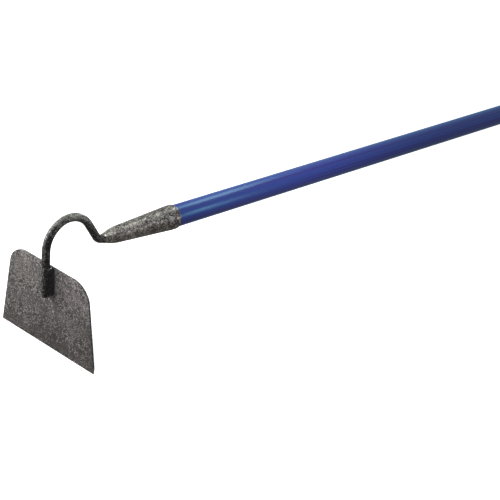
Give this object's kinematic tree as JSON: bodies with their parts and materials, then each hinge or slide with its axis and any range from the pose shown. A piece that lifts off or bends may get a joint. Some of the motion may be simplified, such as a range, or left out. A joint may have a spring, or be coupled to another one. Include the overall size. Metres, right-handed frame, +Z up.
{
  "type": "garden hoe",
  "caption": "Swan neck hoe: trapezoid steel blade welded to a bent round bar, tapered socket, long round fibreglass handle.",
  "frame": {"origin": "on the floor under the middle of the overall box, with the hoe set down on its cutting edge and on the butt of its handle", "axes": "+X runs along the floor from the blade to the butt of the handle, +Y is across the blade and +Z is up"},
  "size_m": [1.5692, 0.178, 0.1932],
  "materials": {
    "blade_paint": "semi-gloss hammertone",
    "neck_paint": "semi-gloss hammertone",
    "socket_paint": "semi-gloss hammertone",
    "rivet_steel": "semi-gloss",
    "handle_fibreglass": "glossy",
    "core_wood": "raw",
    "cap_plastic": "satin"
  },
  "bodies": {
    "root": {"blade": "blade_paint", "swan_neck": "neck_paint", "neck_weld_left": "neck_paint", "neck_weld_right": "neck_paint", "socket": "socket_paint", "socket_seam_weld": "socket_paint", "nose_weld": "socket_paint", "rivet": "rivet_steel", "handle_tube": "handle_fibreglass", "core_plug": "core_wood", "end_cap": "cap_plastic"}
  },
  "joints": []
}
